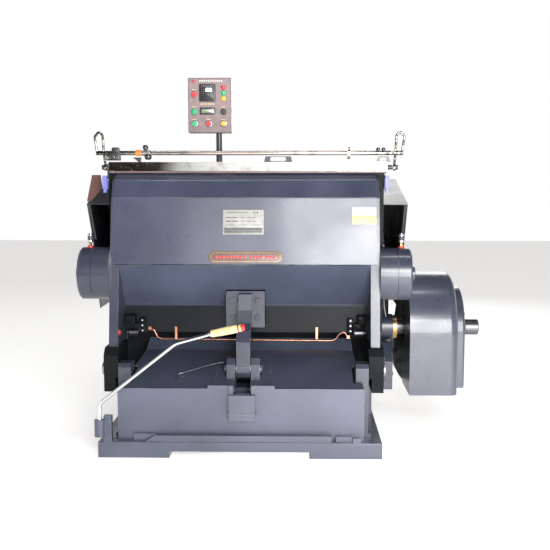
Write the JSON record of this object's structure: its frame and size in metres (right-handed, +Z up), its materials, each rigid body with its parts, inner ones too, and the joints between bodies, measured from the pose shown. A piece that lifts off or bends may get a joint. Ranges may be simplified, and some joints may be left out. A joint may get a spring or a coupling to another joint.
{
  "type": "die cutting machine",
  "caption": "Floor-standing hand-fed clamshell platen press for die cutting and creasing, with swinging platen, pull rods, crank gears, guarded flywheel, safety bar and control box.",
  "frame": {"origin": "on the floor at the centre of the four anchor bolt holes", "axes": "+X along the hinge line to the operator's right, +Y away from the operator, +Z up"},
  "size_m": [2.186, 1.6225, 1.936],
  "materials": {
    "enamel": "gloss slate-blue enamel",
    "dark_enamel": "dark semi-gloss enamel",
    "cast_iron": "painted cast iron",
    "machined_steel": "ground steel, lightly oiled",
    "chrome": "bright chrome plate",
    "bronze": "machined bronze",
    "copper": "drawn copper tube",
    "primer": "red-brown primer",
    "panel": "satin panel lacquer",
    "black_plastic": "satin black moulding",
    "red_plastic": "gloss red moulding",
    "green_plastic": "gloss green moulding",
    "yellow_plastic": "gloss yellow moulding",
    "blue_plastic": "satin blue moulding",
    "grip_plastic": "worn cream grip",
    "label": "printed label film",
    "belt_rubber": "flat rubber belt"
  },
  "bodies": {
    "frame": {"base_frame": "cast_iron", "apron_panel": "enamel", "deck_sheet": "enamel", "hinge_lugs": "cast_iron", "hinge_pins": "machined_steel", "centre_bearings": "cast_iron", "centre_foot_plate": "cast_iron", "foot_box": "dark_enamel", "side_frames": "cast_iron", "bed_body": "cast_iron", "bed_plate": "machined_steel", "die_chase": "machined_steel", "chase_clamps": "machined_steel", "bronze_bushes": "bronze", "shaft_support": "cast_iron", "drive_belt": "belt_rubber", "guard_shell": "enamel", "guard_back_plate": "dark_enamel", "guard_end_cap": "enamel", "motor_body": "cast_iron", "motor_bracket": "dark_enamel", "side_guards": "dark_enamel", "rear_shield": "primer", "control_post": "chrome", "control_box": "dark_enamel", "control_face": "panel", "panel_fittings": "black_plastic", "lever_bracket": "cast_iron"},
    "platen": {"platen_plate": "cast_iron", "cutting_plate": "machined_steel", "platen_cover": "enamel", "lower_strip": "enamel", "side_flanges": "cast_iron", "hinge_legs": "cast_iron", "trunnions": "cast_iron", "arm_bracket": "cast_iron", "swing_arm": "cast_iron", "chrome_rail": "chrome", "rail_brackets": "dark_enamel", "limit_switches": "blue_plastic", "name_plates": "label", "oil_pipe": "copper"},
    "rod_left": {"pull_rod_left": "cast_iron"},
    "rod_right": {"pull_rod_right": "cast_iron"},
    "crank": {"crankshaft": "machined_steel", "bull_gear": "cast_iron"},
    "lay": {"lay_shaft": "machined_steel"},
    "drive": {"drive_shaft": "machined_steel"},
    "flywheel": {"flywheel": "cast_iron"},
    "motor_rotor": {"motor_pulley": "machined_steel"},
    "lever": {"lever_rod": "chrome", "lever_grip": "grip_plastic"},
    "safety": {"safety_bar": "chrome", "bar_fittings": "black_plastic"},
    "green_button": {"button_green": "green_plastic"},
    "red_button": {"button_red": "red_plastic"},
    "yellow_button": {"button_yellow": "yellow_plastic"},
    "red_selector": {"selector_red": "red_plastic"},
    "green_selector": {"selector_green": "green_plastic"},
    "black_selector": {"selector_black": "black_plastic"}
  },
  "joints": [
    {"name": "platen_swing", "type": "hinge", "parent": "frame", "child": "platen", "pos_m": [0, -0.52, 0.415], "axis": [1, 0, 0], "range_deg": [0, 45]},
    {"name": "rod_left_pivot", "type": "hinge", "parent": "platen", "child": "rod_left", "pos_m": [-0.827, -0.35, 0.89], "axis": [1, 0, 0], "range_deg": [-45, 0]},
    {"name": "rod_right_pivot", "type": "hinge", "parent": "platen", "child": "rod_right", "pos_m": [0.827, -0.35, 0.89], "axis": [1, 0, 0], "range_deg": [-45, 0]},
    {"name": "crank_turn", "type": "hinge", "parent": "frame", "child": "crank", "pos_m": [0, 0.4, 0.9268], "axis": [1, 0, 0], "range_deg": [0, 180]},
    {"name": "lay_turn", "type": "hinge", "parent": "frame", "child": "lay", "pos_m": [0.684, 0.17758, 0.69673], "axis": [1, 0, 0], "range_deg": [-780.01, 0]},
    {"name": "drive_turn", "type": "hinge", "parent": "frame", "child": "drive", "pos_m": [0.9, 0, 0.549], "axis": [1, 0, 0], "range_deg": [0, 2752.95]},
    {"name": "flywheel_spin", "type": "hinge", "parent": "frame", "child": "flywheel", "pos_m": [0.9, 0, 0.549], "axis": [1, 0, 0], "continuous": true},
    {"name": "motor_spin", "type": "hinge", "parent": "frame", "child": "motor_rotor", "pos_m": [0.96, 0.55, 0.3], "axis": [1, 0, 0], "continuous": true},
    {"name": "lever_swing", "type": "hinge", "parent": "frame", "child": "lever", "pos_m": [-0.705, -0.72, 0.16], "axis": [0, 0, -1], "range_deg": [0, 40]},
    {"name": "safety_bar_tilt", "type": "hinge", "parent": "platen", "child": "safety", "pos_m": [0, -0.25, 1.445], "axis": [1, 0, 0], "range_deg": [-10, 15], "stiffness_Nm_per_rad": 60},
    {"name": "green_button_press", "type": "slide", "parent": "frame", "child": "green_button", "axis": [0, 1, 0], "range_m": [0, 0.004], "stiffness_N_per_m": 500},
    {"name": "red_button_press", "type": "slide", "parent": "frame", "child": "red_button", "axis": [0, 1, 0], "range_m": [0, 0.004], "stiffness_N_per_m": 500},
    {"name": "yellow_button_press", "type": "slide", "parent": "frame", "child": "yellow_button", "axis": [0, 1, 0], "range_m": [0, 0.004], "stiffness_N_per_m": 500},
    {"name": "red_selector_turn", "type": "hinge", "parent": "frame", "child": "red_selector", "pos_m": [-0.296, -0.04, 1.845], "axis": [0, 1, 0], "range_deg": [-45, 45]},
    {"name": "green_selector_turn", "type": "hinge", "parent": "frame", "child": "green_selector", "pos_m": [-0.296, -0.04, 1.752], "axis": [0, 1, 0], "range_deg": [-45, 45]},
    {"name": "black_selector_turn", "type": "hinge", "parent": "frame", "child": "black_selector", "pos_m": [-0.135, -0.04, 1.752], "axis": [0, 1, 0], "range_deg": [-45, 45]}
  ],
  "couplings": [
    {"joint": "rod_left_pivot", "follows": "platen_swing", "ratio": -1},
    {"joint": "rod_right_pivot", "follows": "platen_swing", "ratio": -1},
    {"joint": "crank_turn", "follows": "platen_swing", "ratio": 4},
    {"joint": "lay_turn", "follows": "platen_swing", "ratio": -17.333},
    {"joint": "drive_turn", "follows": "platen_swing", "ratio": 61.176},
    {"joint": "motor_spin", "follows": "flywheel_spin", "ratio": 4.5968}
  ]
}
